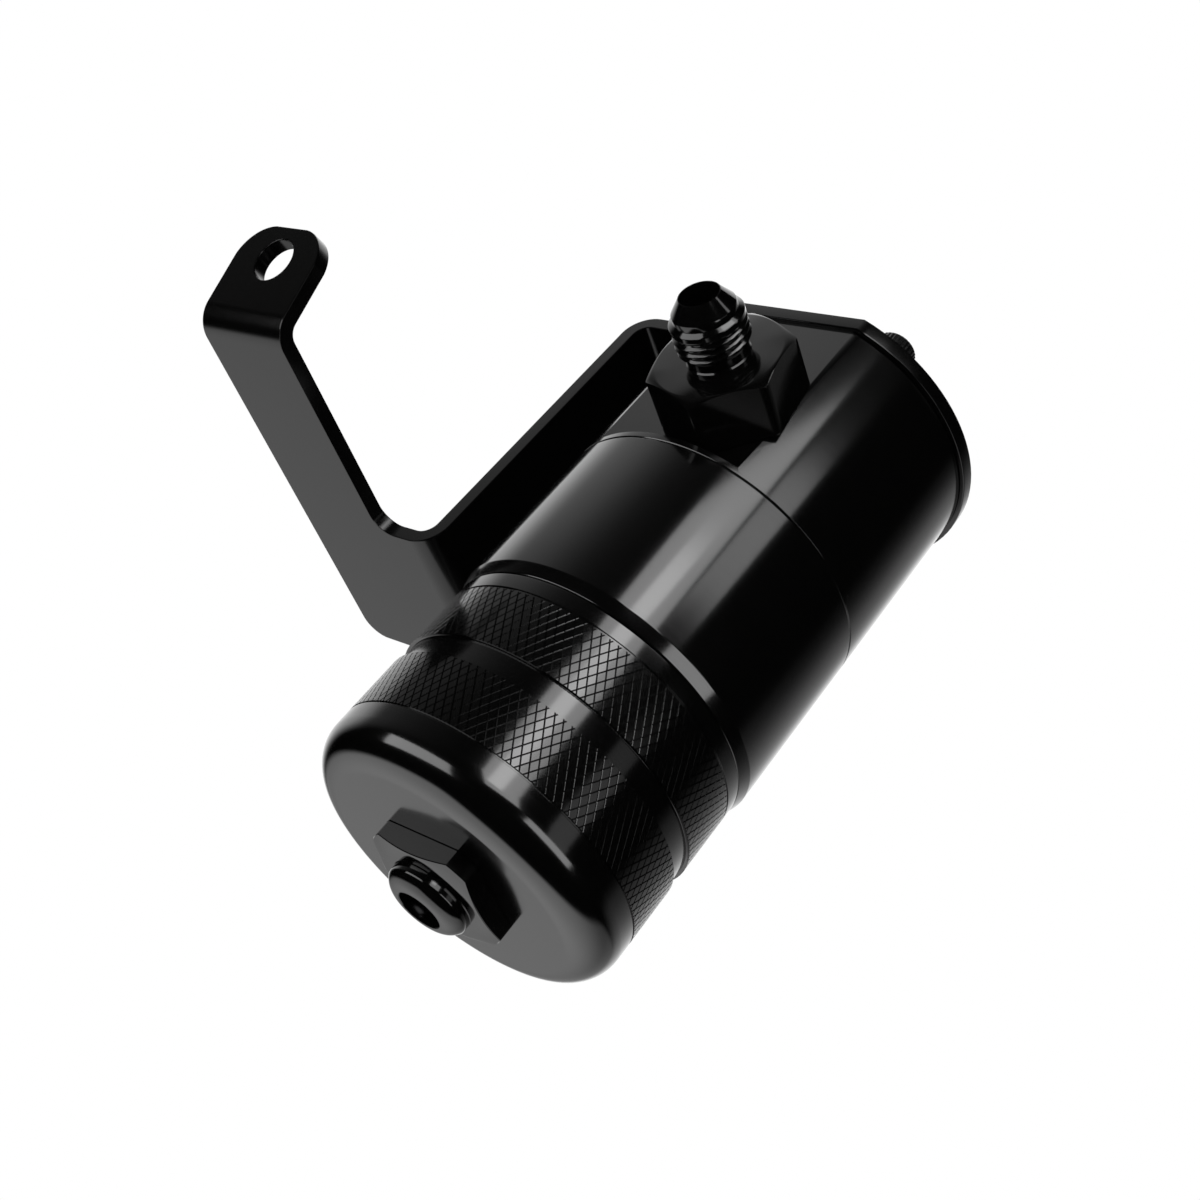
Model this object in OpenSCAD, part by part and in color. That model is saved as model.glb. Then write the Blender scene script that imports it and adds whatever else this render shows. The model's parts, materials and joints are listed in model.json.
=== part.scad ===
// Oil catch can for an engine bay: a turned tube with a billet head, a bent strap bracket,
// two side ports and a knurled drain cup with a push-in drain valve.
// The pieces are drawn in the can's own frame: +Z up along the can's axis and z = 0 at the
// seam between tube and head. They are then moved so that the bracket's bolt hole is the origin.

/* [Can] */
// Outside diameter of the tube and the head
can_d = 65; // [63:0.5:72]
// Length of the tube that shows, from the seam down to its shoulder
tube_len = 37.2; // [34:0.1:60]
// Thickness of the tube between its outside and its bore
tube_thick = 6.5; // [6:0.1:8]
// Wall of the tube beside the head's spigot
tube_wall = 4; // [3.4:0.1:4.4]
// Height of the bevel at the tube's lower edge
bevel_h = 2.5; // [1:0.1:5]
// Width of the bevel at the tube's lower edge
bevel_w = 0.9; // [0.4:0.1:1]
// Chamfer on the can's turned edges
edge_break = 0.3; // [0.1:0.05:0.6]
// Length of the tube's spigot that the drain cup screws onto
spigot_len = 12; // [9:0.5:14]
// Wall of that spigot
spigot_wall = 2.7; // [2:0.1:2.8]

/* [Head] */
// Height of the head above the seam
head_h = 42.3; // [40:0.1:60]
// Depth of each milled flat, from the can's outside
flat_depth = 4.3; // [2.5:0.1:4.9]
// Height of the full ring below the flats
head_ring_h = 1.5; // [1:0.1:4]
// Length of the head's spigot inside the tube
head_spigot_len = 12; // [9:0.5:16]
// Thickness of the head's spigot round the pocket
pocket_wall = 5.4; // [5.4:0.1:8.4]
// Height of the pocket above the seam
pocket_h = 28.5; // [28:0.5:30]
// Radius of the insert's boss in the middle of the pocket
boss_r = 11; // [10:0.5:12]
// Radius of the cross passage to the outlet
passage_r = 4.5; // [3:0.5:5]

/* [Ports] */
// Height of both ports above the seam
port_z = 16.7; // [15:0.1:17]
// Sideways offset of each port from the can's axis
port_x = 5.4; // [3:0.1:6]
// Radius of the threaded port in the head
port_r = 11.1; // [10:0.1:11.5]
// Depth of the threaded port
port_depth = 10; // [7:0.5:11]
// Hexagon of the fitting across its flats
hex_af = 25; // [23.5:0.5:27]
// Height of the fitting's hexagon
hex_h = 12; // [8:0.5:16]
// Angle of the hexagon about its own axis
hex_turn = 39.6; // [0:0.1:60]
// Major radius of the hose thread on the fitting
hose_thread_r = 7.14; // [6:0.01:8]
// Length of the hose thread
hose_thread_len = 7.4; // [5:0.1:12]
// Length of the neck between the hexagon and the hose thread
neck_len = 2; // [1:0.1:5]
// Length of the nose beyond the hose thread
nose_len = 4; // [3:0.1:6]
// Radius of the bore through the fitting
fitting_bore_r = 3.75; // [2.5:0.05:4.5]

/* [Drain cup] */
// How far the drain cup's grips stand back from the can's outside
cup_step = 0.8; // [0.4:0.1:1.2]
// Height of the drain cup
cup_h = 42.8; // [40:0.1:60]
// Height of the plain lip above the upper grip
lip_h = 3.4; // [2:0.1:5]
// Height of each knurled grip
grip_h = 12.1; // [8:0.1:14]
// Height of the groove between the two grips
groove_h = 4.8; // [3:0.1:7]
// Depth of the groove between the two grips
groove_depth = 0.7; // [0.3:0.1:0.9]
// Radius of the rounded bottom edge
cup_round = 7; // [3:0.5:8]
// Depth of the thread in the cup's mouth
cup_thread_depth = 13.6; // [13:0.1:16]
// Thickness of the cup's wall below its thread
cup_wall = 6.2; // [5.4:0.1:9]
// Thickness of the cup's floor
cup_floor = 6; // [5:0.5:8]
// Thickness of the cup's gasket
gasket_t = 1.5; // [1:0.1:2]

/* [Drain valve] */
// Square of the valve's head across its flats
square_af = 22.6; // [20:0.1:25]
// Diameter to which the corners of the square are turned
square_corner_d = 28; // [26:0.1:30]
// Height of the valve's square head
square_h = 4.2; // [3:0.1:8]
// Radius of the valve's nose
nose_r = 8.2; // [7:0.1:10]
// Length of the straight part of the valve's nose
nose_straight = 1.6; // [1:0.1:4]
// Length of the domed part of the valve's nose
nose_dome = 2.1; // [1:0.1:2.5]
// Radius of the outlet in the valve's nose
outlet_r = 4.4; // [3.6:0.1:5]
// Radius of the valve's threaded shank
shank_r = 7; // [6.8:0.1:8]
// Travel of the poppet
poppet_travel = 2.5; // [1:0.1:3]

/* [Bracket] */
// Thickness of the bracket's strap
strap_t = 3.2; // [2:0.1:4]
// Inside radius of the bracket's bends
bend_r = 3; // [2:0.1:5]
// How far the end plate stands out past the can
plate_lip = 1; // [0.4:0.1:3]
// How far the end plate stands out past the head's flats
plate_flat_lip = 0.8; // [0.4:0.1:3]
// Gap between the can and the bracket's leg
leg_gap = 6.3; // [4.5:0.1:12]
// Distance from the can's axis to the front edge of the leg
leg_front = 21.5; // [15:0.5:24]
// Distance from the can's axis to the back edge of the leg
leg_back = 14.6; // [8:0.1:20]
// Depth of the arm's lower face below the seam
arm_drop = 29.6; // [15:0.1:32]
// Distance from the can's outside to the inner edge of the arm
arm_gap = 20.7; // [18.5:0.1:28]
// Width of the arm and of the tab
arm_w = 22.9; // [18:0.1:30]
// Distance from the can's axis to the corner between arm and tab
arm_reach = 69.6; // [50:0.1:90]
// Angle by which the tab leans out from upright
tab_lean = 20; // [0:1:30]
// Length of the tab from that corner
tab_len = 22.2; // [20:0.1:30]
// Distance from that corner to the bolt hole
hole_up = 15; // [11:0.1:16]
// Diameter of the bolt hole
hole_d = 9; // [6:0.1:11]
// Radius of the tab's corners
tab_round = 8; // [3:0.5:10]
// Radius of the arm's rounded lower corner
arm_round = 5; // [1:0.5:8]
// Radius of the fillet between arm and leg
arm_fillet = 4.5; // [1:0.5:7]

/* [Bracket screws] */
// Distance of the screws from the can's outside
screw_inset = 6; // [5.5:0.1:7.5]
// Diameter of the screw's thread
screw_d = 5; // [4:0.5:5]
// Diameter of the screw's head
screw_head_d = 8.5; // [7:0.1:9]
// Height of the screw's head
screw_head_h = 5; // [3:0.1:6]
// Length of the screw below its head
screw_len = 12; // [8:0.5:12]

/* [Baffle] */
// Outside radius of the outlet tube
outlet_tube_r = 7; // [6:0.1:8]
// Wall of the outlet tube
outlet_tube_wall = 1.4; // [1:0.1:2]
// How far the outlet tube reaches below the seam
outlet_tube_drop = 37; // [36:0.5:44]
// Thickness of the perforated discs
disc_t = 1.6; // [1:0.1:2]
// Radius of the holes in the perforated discs
disc_hole_r = 1.5; // [0.8:0.1:1.8]
// Height of the mesh pack between the discs
mesh_h = 16; // [8:0.5:18]

/* [Fits] */
// Radial clearance of a threaded joint
thread_gap = 0.3; // [0.3:0.05:0.5]
// Radial clearance of a slip fit
slip_gap = 0.1; // [0.05:0.01:0.2]
// Gap between faces that close on each other
seam_gap = 0.2; // [0.1:0.05:0.4]
// Thickness of the O-ring cords
cord_d = 1.8; // [1.2:0.1:2]

/* [Hidden] */
$fn = 96;
eps = 0.01;
can_r = can_d / 2;
tube_bore_r = can_r - tube_thick;
spigot_r = tube_bore_r + spigot_wall;
head_spigot_r = can_r - tube_wall - slip_gap;
shoulder_z = -tube_len;
spigot_z = shoulder_z - spigot_len;
bevel_r = can_r - bevel_w;
head_spigot_z = -head_spigot_len;
flat_y = can_r - flat_depth;
pocket_r = head_spigot_r - pocket_wall;

cup_r = can_r - cup_step;
cup_top_z = shoulder_z - seam_gap;
cup_bottom_z = cup_top_z - cup_h;
cup_bore_r = cup_r - cup_wall;
cup_thread_r = spigot_r + thread_gap;
cup_floor_z = cup_bottom_z + cup_floor;
ledge_z = cup_top_z - cup_thread_depth;
upper_grip_z = cup_top_z - lip_h;
groove_z = upper_grip_z - grip_h;
lower_grip_z = groove_z - groove_h;
lower_grip_end_z = lower_grip_z - grip_h;
// Width and depth of the relief line at the end of each grip
relief_w = 0.4;
relief_depth = 0.25;

// Clearance of a cord at the walls of its groove, and the groove's width beyond the cord's
cord_gap = 0.05;
groove_play = 0.6;
head_groove_top = -1;
head_groove_bottom = head_groove_top - cord_d - groove_play;
head_groove_r = can_r - tube_wall - cord_d - 2 * cord_gap;

port_cord_d = 2.4;
port_recess_r = port_r + 0.9;
port_recess_depth = port_cord_d + 4 * cord_gap;
port_undercut_r = port_recess_r - port_cord_d - 2 * cord_gap;
neck_r = hose_thread_r - 1.2;
nose_root_r = hose_thread_r - 1;
nose_tip_r = fitting_bore_r + 0.15;
fitting_len = hex_h + neck_len + hose_thread_len + nose_len;
fitting_mouth_r = 6;
// Half width of the insert's web, which keeps the pocket clear of the outlet's port
web_half = port_r + 1.9;
web_back = 3;
boss_bore_top = port_z + passage_r + 1;

square_z = cup_bottom_z - square_h;
valve_nose_z = square_z - nose_straight;
valve_tip_z = valve_nose_z - nose_dome;
valve_hole_r = shank_r + slip_gap;
valve_recess_r = shank_r + cord_d + 4 * cord_gap;
valve_recess_depth = cord_d + 4 * cord_gap;
shank_top_z = cup_floor_z + 4;
seat_t = 1;
seat_z = valve_tip_z + 5;
seat_r = 2.9;
chamber_r = shank_r - 1.9;
poppet_r = chamber_r - 0.4;
poppet_cord_d = 1.2;
poppet_z = seat_z + seat_t + poppet_cord_d + slip_gap;
poppet_t = 1.6;
stem_r = 1.8;
stem_recess = 1.6;
spring_wire_r = 0.35;
spring_coils = 4;
spring_seat_gap = 0.05;
clip_t = 1;
clip_z = shank_top_z - 1.2 - clip_t;
clip_groove = 0.4;

plate_z = head_h;
plate_r = can_r + plate_lip;
plate_flat = flat_y + plate_flat_lip;
leg_x = can_r + leg_gap;
bend_out = bend_r + strap_t;
arm_z = -arm_drop;
arm_in = can_r + arm_gap;
arm_out = arm_in + arm_w;
leg_w = leg_front + leg_back;
bend_root_x = leg_x + strap_t + bend_r;
lean_tan = tan(45 - tab_lean / 2);
tab_start = bend_out * lean_tan;
tab_flat = tab_len - tab_start;
arm_end_y = -arm_reach + tab_start;
// How much of the arm is drawn with the tab, and how far the corner arcs stand past its edges
strip_start = 5;
corner_proud = 0.05;
bend_steps = 16;
hole_centre = [
    -(arm_in + arm_w / 2),
    -arm_reach - hole_up * sin(tab_lean) + strap_t / 2 * cos(tab_lean),
    arm_z + hole_up * cos(tab_lean) + strap_t / 2 * sin(tab_lean)
];

screw_count = 4;
screw_circle_r = can_r - screw_inset;
screw_first_turn = 45;
screw_r = screw_d / 2;
screw_play = 0.25;
socket_af = screw_d * 0.8;
socket_depth = screw_head_h * 0.5;
screw_chamfer = 0.5;

disc_r = tube_bore_r - slip_gap;
upper_disc_z = head_spigot_z - disc_t;
mesh_z = upper_disc_z - mesh_h;
lower_disc_z = mesh_z - disc_t;
ring_t = 1.2;
ring_z = lower_disc_z - ring_t;
ring_depth = 1;
ring_w = 2;
disc_row_pitch = 4;
disc_rows = [
    for (r = outlet_tube_r + disc_row_pitch; r < disc_r - disc_hole_r - 1; r = r + disc_row_pitch) r
];

black = [0.07, 0.07, 0.075];
dark = [0.13, 0.13, 0.14];
rubber = [0.03, 0.03, 0.03];
steel = [0.72, 0.73, 0.75];

// Moves a piece from the can's frame to the frame of the bolt hole
module from_hole() {
    translate(-hole_centre) children();
}

// A ring between two heights
module ring(r_out, r_in, z_low, z_high) {
    translate([0, 0, z_low]) difference() {
        cylinder(r = r_out, h = z_high - z_low);
        translate([0, 0, -1]) cylinder(r = r_in, h = z_high - z_low + 2);
    }
}

// A round cord bent into a ring
module cord_ring(mean_r, z, d) {
    translate([0, 0, z]) rotate_extrude() translate([mean_r, 0]) circle(d = d, $fn = 32);
}

// What a groove takes off an outside surface, down to the groove's own radius
module outer_groove(r_surface, r_groove, z_low, z_high) {
    ring(r_surface + 1, r_groove, z_low, z_high);
}

// A side-port shape that is drawn along +Z and laid along -Y, level with the port
module at_inlet() {
    translate([port_x, -flat_y, port_z]) rotate([90, 0, 0]) children();
}

module at_outlet() {
    rotate([0, 0, 180]) at_inlet() children();
}

// The tube's outline on the right of its axis, from the seam to the spigot
module tube_outline() {
    polygon([
        [0, 0], [can_r - edge_break, 0], [can_r, -edge_break],
        [can_r, shoulder_z + bevel_h], [bevel_r, shoulder_z],
        [spigot_r, shoulder_z], [spigot_r, spigot_z + 0.6], [spigot_r - 0.6, spigot_z],
        [0, spigot_z]
    ]);
}

module tube_body() from_hole() color(black) difference() {
    rotate_extrude() tube_outline();
    translate([0, 0, spigot_z - 1]) cylinder(r = tube_bore_r, h = tube_len + spigot_len + 2);
    // Counterbore that takes the head's spigot
    translate([0, 0, head_spigot_z - seam_gap])
        cylinder(r = can_r - tube_wall, h = head_spigot_len + 1);
    // Groove of the retaining ring
    translate([0, 0, ring_z - slip_gap])
        cylinder(r = tube_bore_r + ring_depth, h = ring_t + 2 * slip_gap);
}

// The threaded port with the recess that takes the fitting's ring
module port_cut(depth) {
    translate([0, 0, -depth]) cylinder(r = port_r, h = depth + 1);
    translate([0, 0, -port_recess_depth]) cylinder(r = port_recess_r, h = port_recess_depth + 1);
}

// The slab that a side flat takes off the head
module flat_cut() {
    translate([-can_d, -can_d - flat_y, head_ring_h]) cube([2 * can_d, can_d, head_h]);
}

module screw_places() {
    for (i = [0 : screw_count - 1])
        rotate([0, 0, screw_first_turn + i * 360 / screw_count])
            translate([screw_circle_r, 0, 0]) children();
}

// The head's outline above the seam, on the right of its axis
module head_outline() {
    polygon([
        [0, 0], [can_r - edge_break, 0], [can_r, edge_break], [can_r, head_h - edge_break],
        [can_r - edge_break, head_h], [0, head_h]
    ]);
}

module head() from_hole() color(black) difference() {
    union() {
        rotate_extrude() head_outline();
        translate([0, 0, head_spigot_z]) cylinder(r = head_spigot_r, h = head_spigot_len + 1);
    }
    flat_cut();
    rotate([0, 0, 180]) flat_cut();
    outer_groove(head_spigot_r, head_groove_r, head_groove_bottom, head_groove_top);
    // The pocket in which the gas swirls round the insert
    translate([0, 0, head_spigot_z - 1]) cylinder(r = pocket_r, h = pocket_h - head_spigot_z + 1);
    at_inlet() port_cut(port_depth);
    at_outlet() port_cut(port_depth);
    translate([0, 0, head_h - screw_len]) screw_places()
        cylinder(r = screw_r + slip_gap, h = screw_len + 1);
}

// The insert in the head's pocket: a boss round the seat of the outlet tube, and a web that
// carries the cross passage and keeps the pocket clear of the outlet's port
module outlet_insert() from_hole() color(steel) difference() {
    intersection() {
        translate([0, 0, head_spigot_z]) cylinder(r = pocket_r, h = pocket_h - head_spigot_z);
        translate([0, 0, head_spigot_z]) linear_extrude(pocket_h - head_spigot_z) {
            circle(r = boss_r);
            translate([-port_x - web_half, -web_back]) square([2 * web_half, can_r + web_back]);
        }
    }
    translate([0, 0, head_spigot_z - 1])
        cylinder(r = outlet_tube_r - outlet_tube_wall, h = boss_bore_top - head_spigot_z + 1);
    // Wider seat for the outlet tube
    translate([0, 0, head_spigot_z - 1])
        cylinder(r = outlet_tube_r + slip_gap, h = 1 - head_spigot_z);
    at_outlet() port_cut(port_depth);
    at_outlet() translate([0, 0, -flat_y]) cylinder(r = passage_r, h = flat_y);
}

module head_oring() from_hole() color(rubber)
    cord_ring(head_groove_r + cord_gap + cord_d / 2, (head_groove_top + head_groove_bottom) / 2, cord_d);

// The fitting's outline above its hexagon, to the right of its axis
module hose_end_outline() {
    thread_z = hex_h + neck_len;
    nose_z = thread_z + hose_thread_len;
    polygon([
        [0, hex_h - 1], [neck_r, hex_h - 1], [neck_r, thread_z], [hose_thread_r, thread_z],
        [hose_thread_r, nose_z], [nose_root_r, nose_z + 0.9], [nose_root_r, nose_z + 1.3],
        [nose_tip_r, fitting_len], [0, fitting_len]
    ]);
}

// A hexagon with its upper corners turned off at 30 degrees
module turned_hexagon(af, h) {
    corner_r = af / 2 / cos(30);
    face_r = af / 2 * 0.97;
    cone_r = corner_r + 1;
    cone_h = (cone_r - face_r) * tan(30);
    intersection() {
        cylinder(r = corner_r, h = h, $fn = 6);
        union() {
            cylinder(r = cone_r, h = h - cone_h);
            translate([0, 0, h - cone_h]) cylinder(r1 = cone_r, r2 = face_r, h = cone_h);
        }
    }
}

module hose_fitting() {
    shank_len = port_depth - slip_gap;
    difference() {
        union() {
            rotate_extrude() hose_end_outline();
            rotate([0, 0, hex_turn]) turned_hexagon(hex_af, hex_h);
            translate([0, 0, -shank_len]) cylinder(r = port_r - slip_gap, h = shank_len + 1);
        }
        translate([0, 0, -shank_len - 1]) cylinder(r = fitting_bore_r, h = fitting_len + shank_len + 2);
        translate([0, 0, -shank_len - 1]) cylinder(r = fitting_mouth_r, h = shank_len + 1);
        outer_groove(port_r, port_undercut_r, -port_recess_depth, 0);
    }
}

module inlet_fitting() from_hole() color(dark) at_inlet() hose_fitting();

module outlet_fitting() from_hole() color(dark) at_outlet() hose_fitting();

// The ring that seals a fitting in its port
module port_oring() {
    cord_ring(port_undercut_r + cord_gap + port_cord_d / 2, -port_recess_depth / 2, port_cord_d);
}

module inlet_oring() from_hole() color(rubber) at_inlet() port_oring();

module outlet_oring() from_hole() color(rubber) at_outlet() port_oring();

// A sector of a bent strap, in the plane of its section, with the bend's centre at the origin
module bend_section(a_start, a_end) {
    far = 4 * bend_out;
    a_mid = (a_start + a_end) / 2;
    intersection() {
        difference() {
            circle(r = bend_out);
            circle(r = bend_r);
        }
        polygon([
            [0, 0], far * [cos(a_start), sin(a_start)], far * [cos(a_mid), sin(a_mid)],
            far * [cos(a_end), sin(a_end)]
        ]);
    }
}

// The strap's section seen along +Y: end plate, leg and the start of the arm
module leg_section() {
    leg_low = arm_z + bend_out;
    leg_high = plate_z - bend_r;
    translate([-leg_x - strap_t, leg_low]) square([strap_t, leg_high - leg_low]);
    translate([-leg_x + bend_r, leg_high]) bend_section(90, 180);
    translate([-leg_x + bend_r, plate_z]) square([leg_x - bend_r, strap_t]);
    translate([-bend_root_x, leg_low]) bend_section(270, 360);
}

// The arm seen from above: its root along the leg, its long strip and the fillet between them
module arm_outline() {
    difference() {
        union() {
            translate([-arm_out, -leg_front]) square([arm_out - bend_root_x, leg_w]);
            translate([-arm_out, arm_end_y + strip_start])
                square([arm_w, 1 - leg_front - arm_end_y - strip_start]);
            translate([-arm_in, -leg_front - arm_fillet]) difference() {
                square([min(arm_fillet, arm_in - bend_root_x), arm_fillet + eps]);
                translate([arm_fillet, 0]) circle(r = arm_fillet);
            }
        }
        translate([-arm_out, leg_back - arm_round]) difference() {
            translate([-1, 0]) square([arm_round + 1, arm_round + 1]);
            translate([arm_round, 0]) circle(r = arm_round);
        }
    }
}

// Points along an arc about the origin
function arc_points(r, a_start, a_end) = [
    for (i = [0 : bend_steps])
        let (a = a_start + (a_end - a_start) * i / bend_steps)
        r * [cos(a), sin(a)]
];

// The strap's section at its far end, seen along the arm's width, with the bend's centre as
// the origin: a short length of the arm, the bend and the tab's flat
module tab_section() {
    tab_dir = [-sin(tab_lean), cos(tab_lean)];
    out_dir = [-cos(tab_lean), -sin(tab_lean)];
    polygon(concat(
        [[strip_start, -bend_out]],
        arc_points(bend_out, 270, 180 + tab_lean),
        [bend_out * out_dir + tab_flat * tab_dir, bend_r * out_dir + tab_flat * tab_dir],
        arc_points(bend_r, 180 + tab_lean, 270),
        [[strip_start, -bend_r]]
    ));
}

// What is cut out of the tab: its two far corners and the bolt hole
module tab_cuts() {
    corner_x = arm_w / 2 - tab_round + corner_proud;
    corner_y = tab_flat - tab_round + corner_proud;
    for (side = [-1, 1]) scale([side, 1]) translate([corner_x, corner_y]) difference() {
        square([tab_round + 1, tab_round + 1]);
        circle(r = tab_round);
    }
    translate([0, hole_up - tab_start]) circle(r = hole_d / 2);
}

module tab() {
    translate([-arm_out, arm_end_y, arm_z + bend_out]) difference() {
        rotate([90, 0, 90]) linear_extrude(arm_w) tab_section();
        translate([arm_w / 2, 0, 0]) rotate([90 + tab_lean, 0, 0])
            translate([0, 0, bend_r - 1]) linear_extrude(strap_t + 2) tab_cuts();
    }
}

module end_plate() {
    linear_extrude(strap_t) difference() {
        circle(r = plate_r);
        for (side = [-1, 1]) translate([-can_d, side > 0 ? plate_flat : -plate_flat - can_d])
            square([2 * can_d, can_d]);
    }
}

// The strap from its end plate to the far end of its arm. The strap's last bend and its tab
// are a node of their own, so that the open side between the tab and the can stays open.
module bracket() from_hole() color(black) difference() {
    union() {
        translate([0, 0, plate_z]) end_plate();
        translate([0, leg_back, 0]) rotate([90, 0, 0]) linear_extrude(leg_w) leg_section();
        translate([0, 0, arm_z]) linear_extrude(strap_t) arm_outline();
    }
    translate([0, 0, plate_z - 1]) screw_places()
        cylinder(r = screw_r + screw_play, h = strap_t + 2);
}

module bracket_tab() from_hole() color(black) tab();

module bracket_screws() from_hole() color(dark)
    translate([0, 0, plate_z + strap_t]) screw_places() difference() {
        union() {
            cylinder(r = screw_head_d / 2, h = screw_head_h - screw_chamfer);
            translate([0, 0, screw_head_h - screw_chamfer]) cylinder(
                r1 = screw_head_d / 2, r2 = screw_head_d / 2 - screw_chamfer, h = screw_chamfer
            );
            translate([0, 0, -screw_len]) cylinder(r = screw_r, h = screw_len + 1);
        }
        translate([0, 0, screw_head_h - socket_depth])
            cylinder(r = socket_af / 2 / cos(30), h = socket_depth + 1, $fn = 6);
    }

module outlet_tube() from_hole() color(steel)
    ring(outlet_tube_r, outlet_tube_r - outlet_tube_wall, -outlet_tube_drop, -slip_gap);

// A disc with rows of round holes about the outlet tube
module perforated_disc(z) {
    difference() {
        ring(disc_r, outlet_tube_r + slip_gap, z, z + disc_t);
        for (row_r = disc_rows) {
            holes = floor(2 * PI * row_r / (3.4 * disc_hole_r));
            for (i = [0 : holes - 1]) rotate([0, 0, i * 360 / holes])
                translate([row_r, 0, z - 1]) cylinder(r = disc_hole_r, h = disc_t + 2, $fn = 24);
        }
    }
}

module upper_disc() from_hole() color(steel) perforated_disc(upper_disc_z);

module mesh_pack() from_hole() color(steel)
    ring(disc_r - slip_gap, outlet_tube_r + slip_gap, mesh_z, upper_disc_z);

module lower_disc() from_hole() color(steel) perforated_disc(lower_disc_z);

// A split spring ring with an eye at each end
module retaining_ring() from_hole() color(steel) translate([0, 0, ring_z]) {
    ring_out = tube_bore_r + ring_depth - slip_gap;
    eye_r = 1.9;
    eye_place = ring_out - ring_w - eye_r * 0.6;
    half_gap = 8;
    difference() {
        union() {
            difference() {
                cylinder(r = ring_out, h = ring_t);
                translate([0, 0, -1]) cylinder(r = ring_out - ring_w, h = ring_t + 2);
                translate([0, 0, -1]) linear_extrude(ring_t + 2) polygon([
                    [0, 0], 2 * ring_out * [cos(-half_gap), sin(-half_gap)],
                    2 * ring_out * [cos(half_gap), sin(half_gap)]
                ]);
            }
            for (side = [-1, 1]) rotate([0, 0, side * (half_gap + 3)])
                translate([eye_place, 0, 0]) cylinder(r = eye_r, h = ring_t);
        }
        for (side = [-1, 1]) rotate([0, 0, side * (half_gap + 3)])
            translate([eye_place, 0, -1]) cylinder(r = 0.8, h = ring_t + 2);
    }
}

module cup_gasket() from_hole() color(rubber)
    ring(cup_thread_r - slip_gap, cup_bore_r + slip_gap, ledge_z + slip_gap, ledge_z + gasket_t);

// The cup's outline on the right of its axis, with its rounded bottom edge
module cup_outline() {
    difference() {
        translate([0, cup_bottom_z]) square([cup_r, cup_h]);
        translate([cup_r - groove_depth, lower_grip_z]) square([1, groove_h]);
        translate([cup_r, cup_top_z]) rotate(45) square(edge_break * sqrt(2), center = true);
        for (line_z = [upper_grip_z, lower_grip_end_z])
            translate([cup_r - relief_depth, line_z - relief_w / 2]) square([1, relief_w]);
        translate([cup_r - cup_round, cup_bottom_z - 1]) difference() {
            square([cup_round + 1, cup_round + 1]);
            translate([0, cup_round + 1]) circle(r = cup_round);
        }
    }
}

module drain_cup() from_hole() color(black) difference() {
    rotate_extrude() cup_outline();
    translate([0, 0, ledge_z]) cylinder(r = cup_thread_r, h = cup_thread_depth + 1);
    translate([0, 0, cup_floor_z]) cylinder(r = cup_bore_r, h = cup_h);
    translate([0, 0, cup_bottom_z - 1]) cylinder(r = valve_hole_r, h = cup_floor + 2);
    translate([0, 0, cup_bottom_z - 1]) cylinder(r = valve_recess_r, h = valve_recess_depth + 1);
}

// The valve's square head with its corners turned and its front edge bevelled
module square_head() {
    face_r = square_af / 2 * 0.96;
    corner_r = square_corner_d / 2;
    bevel = (corner_r - face_r) * tan(18);
    intersection() {
        translate([-square_af / 2, -square_af / 2, square_z]) cube([square_af, square_af, square_h]);
        union() {
            translate([0, 0, square_z + bevel]) cylinder(r = corner_r, h = square_h);
            translate([0, 0, square_z]) cylinder(r1 = face_r, r2 = corner_r, h = bevel);
        }
    }
}

// The valve's nose: a short cylinder that ends in a dome round the outlet
module valve_nose() {
    rim_r = outlet_r + 0.3;
    dome_r = ((nose_r - rim_r) ^ 2 + nose_dome ^ 2) / (2 * nose_dome);
    rotate_extrude() union() {
        translate([0, valve_nose_z]) square([nose_r, nose_straight + 1]);
        intersection() {
            translate([0, valve_tip_z]) square([nose_r, nose_dome]);
            union() {
                translate([0, valve_tip_z]) square([rim_r, nose_dome]);
                translate([rim_r, valve_tip_z + dome_r]) circle(r = dome_r);
            }
        }
    }
}

module drain_valve_body() from_hole() color(dark) difference() {
    union() {
        square_head();
        valve_nose();
        translate([0, 0, cup_bottom_z - 1]) cylinder(r = shank_r, h = shank_top_z - cup_bottom_z + 1);
    }
    translate([0, 0, valve_tip_z - 1]) cylinder(r = outlet_r, h = seat_z - valve_tip_z + 1);
    translate([0, 0, seat_z - 1]) cylinder(r = seat_r, h = seat_t + 2);
    translate([0, 0, seat_z + seat_t]) cylinder(r = chamber_r, h = shank_top_z - seat_z);
    translate([0, 0, clip_z - slip_gap])
        cylinder(r = chamber_r + clip_groove + slip_gap, h = clip_t + 2 * slip_gap);
}

module drain_valve_oring() from_hole() color(rubber)
    cord_ring(shank_r + 2 * cord_gap + cord_d / 2, cup_bottom_z + valve_recess_depth / 2, cord_d);

module drain_poppet() from_hole() color(steel) {
    stem_z = valve_tip_z + stem_recess;
    translate([0, 0, poppet_z]) cylinder(r = poppet_r, h = poppet_t);
    translate([0, 0, stem_z + stem_r]) cylinder(r = stem_r, h = poppet_z - stem_z - stem_r + eps);
    translate([0, 0, stem_z + stem_r]) sphere(r = stem_r);
}

module poppet_oring() from_hole() color(rubber)
    cord_ring(poppet_r - poppet_cord_d / 2, poppet_z - poppet_cord_d / 2, poppet_cord_d);

// A point of the spring's wire at turn t of its length and angle a about the wire
function wire_point(t, a, mean_r, z_low, z_high) =
    let (
        turn = 360 * spring_coils * t,
        r = mean_r + spring_wire_r * cos(a),
        z = z_low + spring_wire_r + (z_high - z_low - 2 * spring_wire_r) * t
    )
    [r * cos(turn), r * sin(turn), z + spring_wire_r * sin(a)];

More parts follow.
